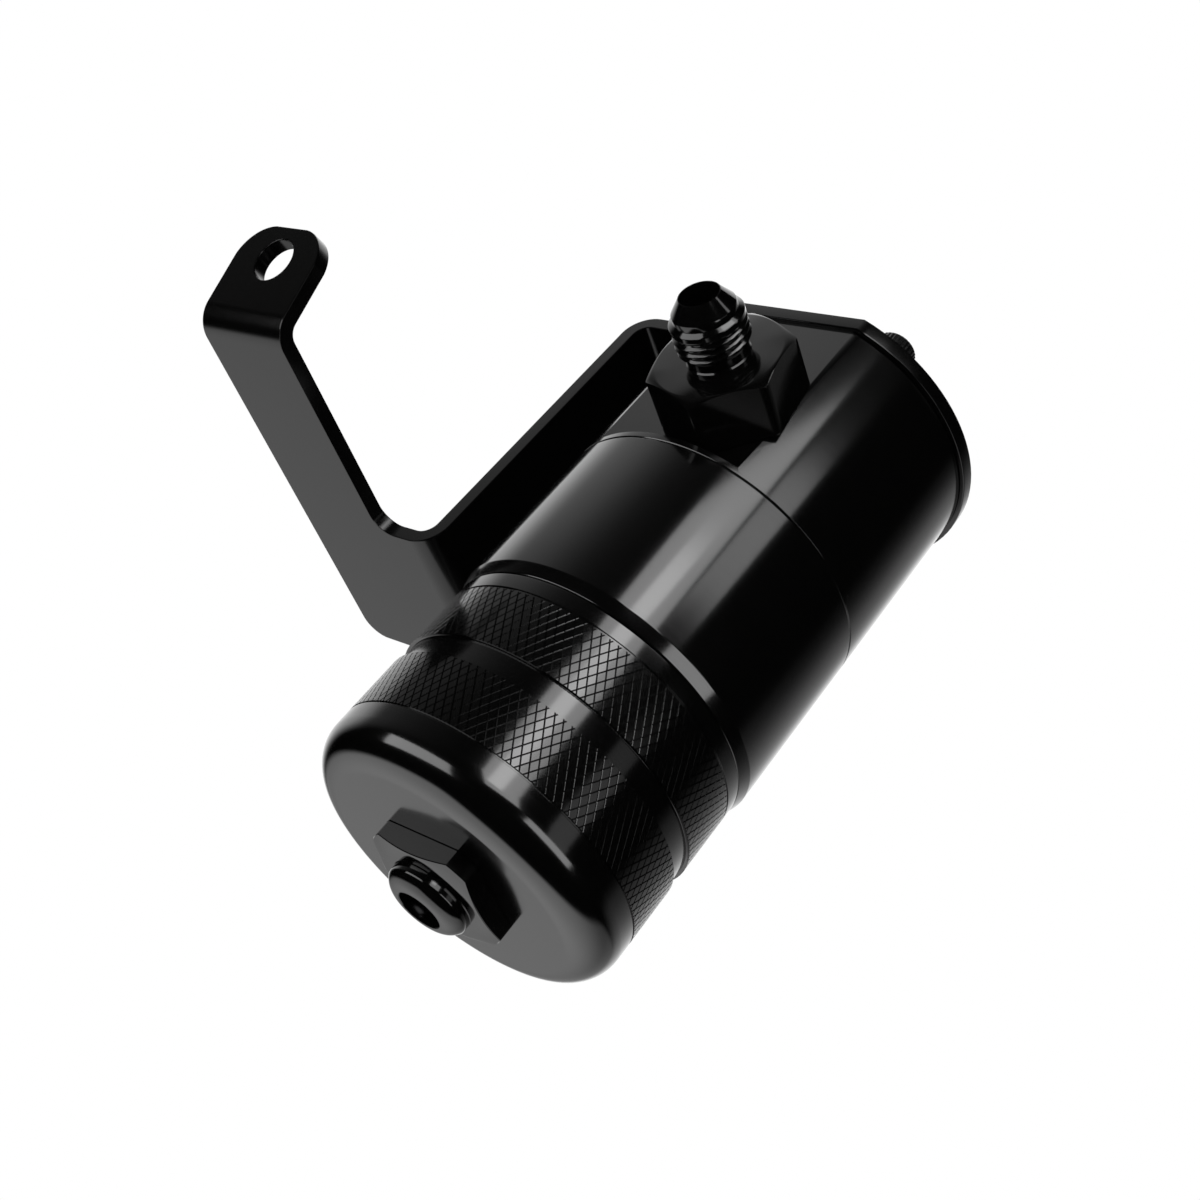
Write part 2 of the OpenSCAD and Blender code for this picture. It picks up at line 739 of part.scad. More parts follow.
module helical_spring(mean_r, z_low, z_high) {
    steps = 16 * spring_coils;
    sides = 8;
    points = [
        for (i = [0 : steps]) for (j = [0 : sides - 1])
            wire_point(i / steps, j * 360 / sides, mean_r, z_low, z_high)
    ];
    walls = [
        for (i = [0 : steps - 1]) for (j = [0 : sides - 1])
            let (k = (j + 1) % sides)
            [i * sides + j, i * sides + k, (i + 1) * sides + k, (i + 1) * sides + j]
    ];
    first_end = [for (j = [0 : sides - 1]) sides - 1 - j];
    last_end = [for (j = [0 : sides - 1]) steps * sides + j];
    polyhedron(points = points, faces = concat(walls, [first_end], [last_end]), convexity = 8);
}

module drain_spring() from_hole() color(steel)
    helical_spring(
        poppet_r - spring_wire_r - 0.5, poppet_z + poppet_t + spring_seat_gap, clip_z - spring_seat_gap
    );

module spring_clip() from_hole() color(steel)
    ring(chamber_r + clip_groove, seat_r, clip_z, clip_z + clip_t);

tube_body();
head();
head_oring();
outlet_insert();
inlet_fitting();
inlet_oring();
outlet_fitting();
outlet_oring();
bracket();
bracket_tab();
bracket_screws();
outlet_tube();
upper_disc();
mesh_pack();
lower_disc();
retaining_ring();
cup_gasket();
drain_cup();
drain_valve_body();
drain_valve_oring();
drain_poppet();
poppet_oring();
drain_spring();
spring_clip();
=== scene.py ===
import json
import math

import bpy
import bmesh
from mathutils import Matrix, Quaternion, Vector


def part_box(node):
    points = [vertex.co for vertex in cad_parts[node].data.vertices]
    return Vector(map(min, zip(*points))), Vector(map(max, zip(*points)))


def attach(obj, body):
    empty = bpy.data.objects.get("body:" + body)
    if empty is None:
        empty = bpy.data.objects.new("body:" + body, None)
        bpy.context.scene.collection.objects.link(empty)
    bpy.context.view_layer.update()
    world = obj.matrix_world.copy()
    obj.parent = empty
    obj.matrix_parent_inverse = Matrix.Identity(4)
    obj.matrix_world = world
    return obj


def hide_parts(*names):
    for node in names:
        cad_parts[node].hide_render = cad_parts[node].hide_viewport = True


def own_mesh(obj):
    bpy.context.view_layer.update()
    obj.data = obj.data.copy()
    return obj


# Lengths below are in millimetres in the can's own frame: +Z up its axis, z = 0 at the seam
MM = 0.001

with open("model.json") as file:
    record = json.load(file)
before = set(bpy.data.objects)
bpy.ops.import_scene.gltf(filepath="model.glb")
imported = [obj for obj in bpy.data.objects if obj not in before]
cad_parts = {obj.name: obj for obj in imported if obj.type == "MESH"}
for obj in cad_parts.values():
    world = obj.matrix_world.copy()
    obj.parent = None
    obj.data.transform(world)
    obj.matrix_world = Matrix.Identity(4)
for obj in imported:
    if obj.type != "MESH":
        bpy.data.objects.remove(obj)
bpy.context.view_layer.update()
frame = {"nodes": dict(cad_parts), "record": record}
nodes = frame["nodes"]
scene = bpy.context.scene

tube_low, tube_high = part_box("tube_body")
AXIS = Vector(((tube_low.x + tube_high.x) / 2, (tube_low.y + tube_high.y) / 2, tube_high.z))


def can_point(x, y, z):
    """A point in the can's frame, in millimetres, as a point of the row frame in metres."""
    return AXIS + Vector((x, y, z)) * MM


def on_arc(center_r, center_z, radius, degrees):
    """A point (r, z) of an arc in a profile."""
    angle = math.radians(degrees)
    return center_r + radius * math.cos(angle), center_z + radius * math.sin(angle)


# Materials
def linked(tree, node_type, inputs, **settings):
    """A new shader node whose inputs, by name or number, are values or other nodes' outputs."""
    node = tree.nodes.new(node_type)
    for key, value in settings.items():
        setattr(node, key, value)
    for key, value in inputs.items():
        if isinstance(value, bpy.types.NodeSocket):
            tree.links.new(value, node.inputs[key])
        else:
            node.inputs[key].default_value = value
    return node


def new_material(name, color, roughness, metallic=0.0, specular=0.5):
    material = bpy.data.materials.new(name)
    material.use_nodes = True
    shader = material.node_tree.nodes["Principled BSDF"]
    shader.inputs["Base Color"].default_value = (*color, 1)
    shader.inputs["Roughness"].default_value = roughness
    shader.inputs["Metallic"].default_value = metallic
    shader.inputs["Specular IOR Level"].default_value = specular
    return material


SLOTS = {}
NOISE_DETAIL = 4
BUMP_HEIGHT = 0.01


def add_finish(
        slot, color, roughness, grain, spread, rough_spread, bump=0.0, stretch=(1, 1, 1), **base):
    """Adds the material of a slot. Noise in the object's own space varies its colour by a share of
    spread, its roughness by rough_spread and, where bump is set, its height."""
    material = new_material(slot, color, roughness, **base)
    tree = material.node_tree
    shader = tree.nodes["Principled BSDF"]
    place = linked(tree, "ShaderNodeTexCoord", {}).outputs["Object"]
    mapping = linked(tree, "ShaderNodeMapping", {"Vector": place, "Scale": stretch})
    noise = linked(
        tree, "ShaderNodeTexNoise",
        {"Vector": mapping.outputs["Vector"], "Scale": grain, "Detail": NOISE_DETAIL}).outputs["Fac"]
    ramp = linked(tree, "ShaderNodeValToRGB", {"Fac": noise})
    for stop, share in zip(ramp.color_ramp.elements, (1 - spread, 1 + spread)):
        stop.color = (*[c * share for c in color], 1)
    rough = linked(
        tree, "ShaderNodeMapRange",
        {"Value": noise, "To Min": roughness - rough_spread, "To Max": roughness + rough_spread})
    tree.links.new(ramp.outputs["Color"], shader.inputs["Base Color"])
    tree.links.new(rough.outputs["Result"], shader.inputs["Roughness"])
    if bump:
        relief = linked(
            tree, "ShaderNodeBump", {"Height": noise, "Strength": bump, "Distance": BUMP_HEIGHT * MM})
        tree.links.new(relief.outputs["Normal"], shader.inputs["Normal"])
    SLOTS[slot] = material


BLACK = (0.001, 0.001, 0.001)
OXIDE = (0.004, 0.004, 0.004)
STEEL = (0.6, 0.6, 0.62)
ALUMINIUM = (0.7, 0.71, 0.73)
WIRE = (0.4, 0.4, 0.42)
RUBBER = (0.012, 0.012, 0.012)
# Turning marks run round the can, so their grain is short along its axis
TURNED = (1, 1, 25)
add_finish("black_anodised", BLACK, 0.12, 120, 0.2, 0.02, bump=0.08, stretch=TURNED)
add_finish("black_bracket", BLACK, 0.18, 700, 0.2, 0.02, specular=0.24)
add_finish("black_fitting", BLACK, 0.1, 700, 0.2, 0.02, specular=0.35)
add_finish("black_oxide", OXIDE, 0.2, 900, 0.2, 0.04, metallic=0.3)
add_finish("bare_aluminium", ALUMINIUM, 0.35, 300, 0.05, 0.05, metallic=1.0)
add_finish("stainless", STEEL, 0.25, 400, 0.05, 0.05, metallic=1.0)
add_finish("wire_mesh", WIRE, 0.45, 2500, 0.6, 0.1, bump=1.0, metallic=1.0)
add_finish("rubber", RUBBER, 0.6, 700, 0.3, 0.08)

slot_of = {s["node"]: s["material_slot"] for s in frame["record"]["subparts"]}
for name, node in nodes.items():
    node.data.materials.clear()
    node.data.materials.append(SLOTS[slot_of[name]])


# Making pieces
SHARP_DEGREES = 32
NORMAL_WEIGHT = 100
# Points nearer than this become one, in turned pieces, in copies of CAD nodes and in the knurl
WELD = 0.001
CAD_WELD = 0.002
KNURL_WELD = 0.0005


def add_piece(name, mesh, body, slot, *replaced):
    """A mesh in the row frame that becomes a shown piece on a body, in place of CAD nodes."""
    mesh.name = name
    mesh.polygons.foreach_set("use_smooth", [True] * len(mesh.polygons))
    mesh.set_sharp_from_angle(angle=math.radians(SHARP_DEGREES))
    piece = bpy.data.objects.new(name, mesh)
    scene.collection.objects.link(piece)
    mesh.materials.clear()
    mesh.materials.append(SLOTS[slot])
    weighted = piece.modifiers.new("weighted_normals", "WEIGHTED_NORMAL")
    weighted.keep_sharp = True
    weighted.weight = NORMAL_WEIGHT
    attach(piece, body)
    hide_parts(*replaced)
    return piece


def soften(outline, radius, steps=3):
    """Rounds the corners of a closed outline of (r, z) points, apart from those that hardly turn."""
    least_turn = math.radians(25)
    most_share = 0.4
    rounded = []
    for i, corner in enumerate(outline):
        here = Vector(corner)
        back = Vector(outline[i - 1]) - here
        ahead = Vector(outline[(i + 1) % len(outline)]) - here
        turn = math.pi - back.angle(ahead)
        if turn < least_turn:
            rounded.append(tuple(here))
            continue
        cut = min(radius * math.tan(turn / 2), back.length * most_share, ahead.length * most_share)
        start = here + back.normalized() * cut
        end = here + ahead.normalized() * cut
        for s in range(steps + 1):
            t = s / steps
            rounded.append(tuple(start * (1 - t) ** 2 + here * 2 * t * (1 - t) + end * t ** 2))
    return rounded


def revolve(bm, rows, segments, place, first_turn=0.0):
    """Adds a closed shape turned about an axis. A row is (r, z) or a function of the angle that
    gives (r, z), and place turns x, y, z about the axis into a point of the row frame."""
    rings = []
    for row in rows:
        ring = []
        for k in range(segments):
            angle = first_turn + 2 * math.pi * k / segments
            r, z = row(angle) if callable(row) else row
            ring.append(bm.verts.new(place(r * math.cos(angle), r * math.sin(angle), z)))
        rings.append(ring)
    for i, ring in enumerate(rings):
        above = rings[(i + 1) % len(rings)]
        for k in range(segments):
            n = (k + 1) % segments
            bm.faces.new((ring[k], ring[n], above[n], above[k]))


def mesh_of(bm):
    """A mesh from a bmesh, with its doubled points merged and its faces turned outwards."""
    bmesh.ops.remove_doubles(bm, verts=bm.verts, dist=WELD * MM)
    bmesh.ops.recalc_face_normals(bm, faces=bm.faces)
    mesh = bpy.data.meshes.new("mesh")
    bm.to_mesh(mesh)
    bm.free()
    return mesh


def add_turned(name, rows, segments, body, slot, replaced, place=can_point, first_turn=0.0):
    """A piece that is one closed shape turned about an axis."""
    bm = bmesh.new()
    revolve(bm, rows, segments, place, first_turn)
    add_piece(name, mesh_of(bm), body, slot, replaced)


def machined(bevel, *names, joint_y=None):
    """A mesh like the named CAD nodes, with its outer edges broken. Faces of two nodes that meet
    at joint_y, in metres, are taken out, so that one piece of metal shows no joint."""
    flat_turn = math.radians(0.3)
    least_turn = math.radians(35)
    facing_y = 0.999
    joint_reach = 0.01
    bm = bmesh.new()
    for name in names:
        copy = nodes[name].data.copy()
        copy.transform(nodes[name].matrix_world)
        bm.from_mesh(copy)
        bpy.data.meshes.remove(copy)
    bmesh.ops.remove_doubles(bm, verts=bm.verts, dist=CAD_WELD * MM)
    if joint_y is not None:
        inner = [
            f for f in bm.faces
            if abs(f.normal.y) > facing_y
            and abs(f.calc_center_median().y - joint_y) < joint_reach * MM
        ]
        bmesh.ops.delete(bm, geom=inner, context="FACES_ONLY")
    bmesh.ops.dissolve_limit(bm, angle_limit=flat_turn, verts=bm.verts, edges=bm.edges)
    edges = [
        e for e in bm.edges
        if len(e.link_faces) == 2 and e.is_convex and e.calc_face_angle() > least_turn
    ]
    bmesh.ops.bevel(
        bm, geom=edges, offset=bevel * MM, offset_type="OFFSET", segments=2, profile=0.5,
        affect="EDGES", clamp_overlap=True)
    return mesh_of(bm)


def tooth(t):
    """A thread's height over one pitch, from 0 at the root to 1 at the crest, with short flats."""
    root_share = 0.15
    flank = 1.35
    return min(1, max(0, flank * abs(2 * (t % 1) - 1) - root_share))


def thread_rows(z_start, z_end, root_r, crest_r, pitch, steps=12):
    """Rows of a right-hand thread, steps to a pitch, whose ends run out over half a turn."""
    run_out_length = 0.5 * pitch
    length = abs(z_end - z_start)
    count = round(length / pitch * steps)
    rows = []
    for i in range(count + 1):
        z = z_start + (z_end - z_start) * i / count
        run_out = min(1, min(i, count - i) * length / count / run_out_length)

        def row(angle, z=z, run_out=run_out):
            height = tooth(z / pitch - angle / (2 * math.pi))
            return root_r + (crest_r - root_r) * height * run_out, z
        rows.append(row)
    return rows


def turned_polygon(sides, af, corner_r, turn):
    """The radius of a polygon at an angle. It has a corner at the angle turn, af is its width
    across flats, and its corners are turned off at corner_r."""
    def radius(angle):
        part = (angle - turn) % (2 * math.pi / sides) - math.pi / sides
        return min(corner_r, af / 2 / math.cos(part))
    return radius


def chamfered(radius, z_end, face_r, slope, way=1):
    """A row where a cone meets the sides that radius gives. The cone starts from face_r at z_end,
    an end that faces up where way is 1 and down where it is -1."""
    return lambda a: (radius(a), z_end - way * max(0, radius(a) - face_r) * slope)


# In the profiles below, a small amount added to a named radius or height breaks an edge or fills
# a corner. Rows go once round the section.

# Tube, with the thread that the cup screws onto and the groove of the retaining ring
TURNED_SEGMENTS = 288
CAN_R = 32.5
HEAD_BORE_R = 28.5
HEAD_BORE_Z = -12.2
TUBE_BORE_R = 26
BEVEL_Z = -34.7
BEVEL_R = 31.6
SHOULDER_Z = -37.2
SPIGOT_NECK_R = 28.3
SPIGOT_END_R = 27.9
SPIGOT_Z = -49.2
CUP_PITCH = 2
CUP_THREAD = (-38.2, -48.8)
CUP_THREAD_ROOT_R = 28.1
CUP_THREAD_CREST_R = 28.7
RING_GROOVE_R = 27
RING_GROOVE = (-32.5, -31.1)


def tube_rows():
    outside = [
        (HEAD_BORE_R, 0), (CAN_R - 0.3, 0), (CAN_R - 0.1, -0.08), (CAN_R, -0.3), (CAN_R, BEVEL_Z + 0.1),
        (CAN_R - 0.04, BEVEL_Z - 0.1), (BEVEL_R + 0.1, SHOULDER_Z + 0.25), (BEVEL_R, SHOULDER_Z + 0.1),
        (BEVEL_R - 0.15, SHOULDER_Z), (SPIGOT_NECK_R, SHOULDER_Z)
    ]
    thread = thread_rows(*CUP_THREAD, CUP_THREAD_ROOT_R, CUP_THREAD_CREST_R, CUP_PITCH)
    inside = [
        (SPIGOT_END_R, SPIGOT_Z), (TUBE_BORE_R, SPIGOT_Z), (TUBE_BORE_R, RING_GROOVE[0]),
        (RING_GROOVE_R, RING_GROOVE[0]), (RING_GROOVE_R, RING_GROOVE[1]),
        (TUBE_BORE_R, RING_GROOVE[1]), (TUBE_BORE_R, HEAD_BORE_Z), (HEAD_BORE_R, HEAD_BORE_Z)
    ]
    return outside + thread + inside


add_turned("tube_turned", tube_rows(), TURNED_SEGMENTS, "can", "black_anodised", "tube_body")

# Head and bracket keep the CAD's shapes, with broken edges, and the bracket shows as one piece
HEAD_EDGE = 0.25
BRACKET_EDGE = 0.35
add_piece("head_machined", machined(HEAD_EDGE, "head"), "can", "black_anodised", "head")
strap = machined(BRACKET_EDGE, "bracket", "bracket_tab", joint_y=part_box("bracket")[0].y)
add_piece("bracket_bent", strap, "can", "black_bracket", "bracket", "bracket_tab")

# Drain cup: the turned body, then the knurled grips with a relief line at the end of each
CUP_TOP = -37.4
CUP_BOTTOM = -80.2
CUP_ROUND = 7
CUP_EDGE = 0.2
CUP_BORE_R = 25.5
CUP_MOUTH_R = 29
CUP_LEDGE_Z = -51
CUP_FLOOR_Z = -74.2
GRIP_R = 31.7
GRIP_CORE_R = 31.45
GROOVE_R = 31
UPPER_GRIP = (-52.9, -41.0)
LOWER_GRIP = (-69.6, -57.7)
RELIEF_W = 0.4
VALVE_HOLE_R = 7.1
VALVE_RECESS_R = 9
VALVE_RECESS_Z = -78.2


def cup_outline():
    wall = [
        (CUP_MOUTH_R, CUP_TOP), (GRIP_R, CUP_TOP), (GRIP_R, UPPER_GRIP[1] + RELIEF_W),
        (GRIP_CORE_R, UPPER_GRIP[1] + RELIEF_W), (GRIP_CORE_R, UPPER_GRIP[0]),
        (GROOVE_R, UPPER_GRIP[0]), (GROOVE_R, LOWER_GRIP[1]), (GRIP_CORE_R, LOWER_GRIP[1]),
        (GRIP_CORE_R, LOWER_GRIP[0] - RELIEF_W), (GRIP_R, LOWER_GRIP[0] - RELIEF_W)
    ]
    corner = [
        on_arc(GRIP_R - CUP_ROUND, CUP_BOTTOM + CUP_ROUND, CUP_ROUND, a) for a in range(0, -91, -6)
    ]
    inside = [
        (VALVE_RECESS_R, CUP_BOTTOM), (VALVE_RECESS_R, VALVE_RECESS_Z), (VALVE_HOLE_R, VALVE_RECESS_Z),
        (VALVE_HOLE_R, CUP_FLOOR_Z), (CUP_BORE_R, CUP_FLOOR_Z), (CUP_BORE_R, CUP_LEDGE_Z),
        (CUP_MOUTH_R, CUP_LEDGE_Z)
    ]
    return wall + corner + inside


# The knurl is a lattice of crossing grooves, with DIAMONDS raised diamonds round the cup. A
# diamond's top reaches PLATEAU of the way from its centre to the lattice's crossings.
DIAMONDS = 112
STEP_Z = 1.51
STEP_TURN = math.pi / DIAMONDS
LATTICE_TURN = math.radians(-52.37)
LATTICE_Z = -50.66
GROOVE_DEPTH = 0.17
PLATEAU = 0.816
SLEEVE_INSET = 0.1


def knurl(bm, z_low, z_high):
    """Adds a sleeve of raised diamonds between two heights, closed inwards to the cup's core."""
    sleeve = bmesh.new()
    columns = 2 * DIAMONDS
    first = math.floor((z_low - LATTICE_Z) / STEP_Z) - 1
    last = math.ceil((z_high - LATTICE_Z) / STEP_Z) + 1

    def point(i, j, r):
        angle = LATTICE_TURN + i * STEP_TURN
        return sleeve.verts.new((r * math.cos(angle), r * math.sin(angle), LATTICE_Z + j * STEP_Z))

    crossings = {
        (i, j): point(i, j, GRIP_R - GROOVE_DEPTH)
        for i in range(columns) for j in range(first - 1, last + 2) if (i + j) % 2 == 0
    }
    sides = [(1, 0), (0, 1), (-1, 0), (0, -1)]
    for i in range(columns):
        for j in range(first, last + 1):
            if (i + j) % 2 == 0:
                continue
            deep = [crossings[(i + a) % columns, j + b] for a, b in sides]
            high = [point(i + a * PLATEAU, j + b * PLATEAU, GRIP_R) for a, b in sides]
            sleeve.faces.new((high[3], high[0], high[1]))
            sleeve.faces.new((high[3], high[1], high[2]))
            for k in range(4):
                n = (k + 1) % 4
                sleeve.faces.new((high[n], high[k], deep[k], deep[n]))
    for z, way in ((z_high, 1), (z_low, -1)):
        bmesh.ops.bisect_plane(
            sleeve, geom=sleeve.verts[:] + sleeve.edges[:] + sleeve.faces[:],
            plane_co=(0, 0, z), plane_no=(0, 0, way), clear_outer=True)
    rims = [e for e in sleeve.edges if e.is_boundary]
    grown = bmesh.ops.extrude_edge_only(sleeve, edges=rims)["geom"]
    for v in grown:
        if isinstance(v, bmesh.types.BMVert):
            scale = (GRIP_CORE_R - SLEEVE_INSET) / math.hypot(v.co.x, v.co.y)
            v.co.x *= scale
            v.co.y *= scale
    for v in sleeve.verts:
        v.co = can_point(*v.co)
    bmesh.ops.recalc_face_normals(sleeve, faces=sleeve.faces)
    part = bpy.data.meshes.new("sleeve")
    sleeve.to_mesh(part)
    sleeve.free()
    bm.from_mesh(part)
    bpy.data.meshes.remove(part)


def cup_mesh():
    """The cup's body and its grips in one mesh. Each of them has its faces turned outwards by
    itself, because the grips' sleeves reach into the body."""
    bm = bmesh.new()
    revolve(bm, soften(cup_outline(), CUP_EDGE), TURNED_SEGMENTS, can_point)
    bmesh.ops.recalc_face_normals(bm, faces=bm.faces)
    for low, high in (UPPER_GRIP, LOWER_GRIP):
        knurl(bm, low, high)
    bmesh.ops.remove_doubles(bm, verts=bm.verts, dist=KNURL_WELD * MM)
    mesh = bpy.data.meshes.new("cup")
    bm.to_mesh(mesh)
    bm.free()
    return mesh


add_piece("cup_with_grips", cup_mesh(), "cup", "black_anodised", "drain_cup")

# Side fittings. Each is drawn along its own axis, with z = 0 on the head's flat.
FLAT_Y = 28.2
PORT_X = 5.4
PORT_Z = 16.7
FITTING_SEGMENTS = 144
PORT_THREAD_R = 11
PORT_THREAD_END = -9.9
MOUTH_R = 6
UNDERCUT_R = 9.5
UNDERCUT_Z = -2.6
FACE_GAP = 0.02
HEX_AF = 25
HEX_H = 12
HEX_FACE_R = 12.1
HEX_TURN = math.radians(39.6)
HEX_CORNER_CUT = 0.12
HEX_BACK_EDGE = 0.25
HEX_SLOPE = math.tan(math.radians(30))
NECK_R = 5.94
NECK_END = 13.9
HOSE_PITCH = 1.41
HOSE_THREAD = (14.5, 19.4)
HOSE_ROOT_R = 6.42
HOSE_CREST_R = 7.14
HOSE_STEPS = 20
COLLAR_END = 20.5
NOSE_R = 6.14
NOSE_END = 22.4
CONE_END = 25.4
FITTING_BORE_R = 3.75


def hexagon(af, corner_cut):
    """The radius of a hexagon at an angle, with its corners turned off by corner_cut."""
    return turned_polygon(6, af, af / 2 / math.cos(math.pi / 6) - corner_cut, HEX_TURN)


def fitting_rows():
    side = hexagon(HEX_AF, HEX_CORNER_CUT)
    shank = [
        (MOUTH_R, PORT_THREAD_END), (PORT_THREAD_R - 0.2, PORT_THREAD_END),
        (PORT_THREAD_R, PORT_THREAD_END + 0.2), (PORT_THREAD_R, UNDERCUT_Z), (UNDERCUT_R, UNDERCUT_Z),
        (UNDERCUT_R, FACE_GAP)
    ]
    nut = [
        lambda a: (side(a) - HEX_BACK_EDGE, FACE_GAP), lambda a: (side(a), FACE_GAP + HEX_BACK_EDGE),
        chamfered(side, HEX_H, HEX_FACE_R, HEX_SLOPE), (HEX_FACE_R, HEX_H)
    ]
    neck = [
        (NECK_R + 0.26, HEX_H), (NECK_R, HEX_H + 0.26), (NECK_R, NECK_END), (NECK_R + 0.36, NECK_END + 0.2)
    ]
    thread = thread_rows(*HOSE_THREAD, HOSE_ROOT_R, HOSE_CREST_R, HOSE_PITCH, HOSE_STEPS)
    collar = [
        (HOSE_CREST_R - 0.24, COLLAR_END - 1), (HOSE_CREST_R, COLLAR_END - 0.8), (HOSE_CREST_R, COLLAR_END),
        (HOSE_CREST_R - 0.19, COLLAR_END + 0.25), (NOSE_R + 0.11, COLLAR_END + 0.6),
        (NOSE_R, COLLAR_END + 0.75)
    ]
    cone = [
        (NOSE_R, NOSE_END), (NOSE_R - 0.09, NOSE_END + 0.2), (FITTING_BORE_R + 0.25, CONE_END - 0.05),
        (FITTING_BORE_R + 0.1, CONE_END), (FITTING_BORE_R, CONE_END - 0.2), (FITTING_BORE_R, 0.5),
        (MOUTH_R, 0.4)
    ]
    return shank + nut + neck + thread + collar + cone


def at_inlet(x, y, z):
    """A point of a fitting's own frame as one of the row frame, at the inlet."""
    return can_point(PORT_X + x, -FLAT_Y - z, PORT_Z + y)


def at_outlet(x, y, z):
    """The same at the outlet, which is the inlet turned half round the can's axis."""
    return can_point(-PORT_X - x, FLAT_Y + z, PORT_Z + y)


for side_name, place in (("inlet", at_inlet), ("outlet", at_outlet)):
    add_turned(
        side_name + "_hose_end", fitting_rows(), FITTING_SEGMENTS, "can", "black_fitting",
        side_name + "_fitting", place, HEX_TURN)

# Screws: ribbed socket heads on the bracket's end plate
PLATE_TOP = 45.5
SCREW_SEGMENTS = 192
SCREW_RING_R = 26.5
SCREW_R = 2.5
SCREW_LEN = 12
SCREW_HEAD_R = 4.25
SCREW_HEAD_H = 5
SOCKET_AF = 4
SOCKET_Z = 2.5
RIBS = 32
RIB_DEPTH = 0.14


def ribbed(r, z):
    return lambda a: (r - RIB_DEPTH * (0.5 + 0.5 * math.cos(RIBS * a)), z)


def screw_rows():
    socket = hexagon(SOCKET_AF, 0.0)
    shank = [
        (0, -SCREW_LEN), (SCREW_R - 0.3, -SCREW_LEN), (SCREW_R, -SCREW_LEN + 0.4), (SCREW_R, 0)
    ]
    head = [
        (SCREW_HEAD_R - 0.2, 0), ribbed(SCREW_HEAD_R, 0.2), ribbed(SCREW_HEAD_R, SCREW_HEAD_H - 0.6),
        (SCREW_HEAD_R - 0.3, SCREW_HEAD_H - 0.25), (SCREW_HEAD_R - 0.65, SCREW_HEAD_H),
        (SCREW_R, SCREW_HEAD_H)
    ]
    recess = [
        lambda a: (socket(a), SCREW_HEAD_H - 0.2), lambda a: (socket(a), SOCKET_Z), (0, SOCKET_Z - 0.5)
    ]
    return shank + head + recess


def screws_mesh():
    bm = bmesh.new()
    for degrees in (45, 135, 225, 315):
        x = SCREW_RING_R * math.cos(math.radians(degrees))
        y = SCREW_RING_R * math.sin(math.radians(degrees))
        revolve(
            bm, screw_rows(), SCREW_SEGMENTS,
            lambda u, v, w, x=x, y=y: can_point(x + u, y + v, PLATE_TOP + w), HEX_TURN)
    return mesh_of(bm)


add_piece("cap_screws", screws_mesh(), "can", "black_oxide", "bracket_screws")

# Drain valve: a square head with turned corners, and a nose that ends in a dome round the outlet
VALVE_AF = 22.6
VALVE_CORNER_R = 14
VALVE_TURN = math.radians(45)
VALVE_FACE_R = 10.85
VALVE_FACE_Z = -84.4
VALVE_SLOPE = math.tan(math.radians(18))
VALVE_EDGE = 0.12
VALVE_NOSE_R = 8.2
DOME_Z = -85.85
DOME_R = 3.967
DOME_CENTER_R = 4.7
DOME_CENTER_Z = -84.133
OUTLET_R = 4.4
SEAT_R = 2.9
SEAT_Z = (-83.1, -82.1)
SHANK_R = 7
SHANK_TOP = -70.2
CHAMBER_R = 5.1
CLIP_GROOVE_R = 5.6
CLIP_GROOVE = (-72.5, -71.3)


def valve_rows():
    side = turned_polygon(4, VALVE_AF, VALVE_CORNER_R, VALVE_TURN)
    front = chamfered(side, VALVE_FACE_Z, VALVE_FACE_R, VALVE_SLOPE, -1)
    back = CUP_BOTTOM - FACE_GAP
    shank = [(SHANK_R - 0.3, SHANK_TOP), (SHANK_R, SHANK_TOP - 0.3), (SHANK_R, back)]
    head = [
        lambda a: (side(a) - VALVE_EDGE, back), lambda a: (side(a), back - VALVE_EDGE),
        lambda a: (side(a), front(a)[1] + VALVE_EDGE),
        lambda a: (side(a) - VALVE_EDGE, front(a)[1] - VALVE_EDGE * VALVE_SLOPE),
        (VALVE_FACE_R, VALVE_FACE_Z)
    ]
    nose = [
        (VALVE_NOSE_R + 0.15, VALVE_FACE_Z), (VALVE_NOSE_R, VALVE_FACE_Z - 0.15), (VALVE_NOSE_R, DOME_Z)
    ]
    dome = [on_arc(DOME_CENTER_R, DOME_CENTER_Z, DOME_R, a) for a in range(-30, -91, -5)]
    tip = DOME_CENTER_Z - DOME_R
    bore = [
        (OUTLET_R + 0.15, tip), (OUTLET_R, tip + 0.15), (OUTLET_R, SEAT_Z[0]), (SEAT_R, SEAT_Z[0]),
        (SEAT_R, SEAT_Z[1]), (CHAMBER_R, SEAT_Z[1]), (CHAMBER_R, CLIP_GROOVE[0]),
        (CLIP_GROOVE_R, CLIP_GROOVE[0]), (CLIP_GROOVE_R, CLIP_GROOVE[1]), (CHAMBER_R, CLIP_GROOVE[1]),
        (CHAMBER_R, SHANK_TOP)
    ]
    return shank + head + nose + dome + bore


add_turned("valve_machined", valve_rows(), TURNED_SEGMENTS, "cup", "black_fitting", "drain_valve_body")

# The valve's spring, as a piece with a mesh of its own. In the real valve it shortens towards its clip as
# the poppet rises.
coil = add_piece("spring_coil", nodes["drain_spring"].data.copy(), "cup", "stainless", "drain_spring")
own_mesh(coil)

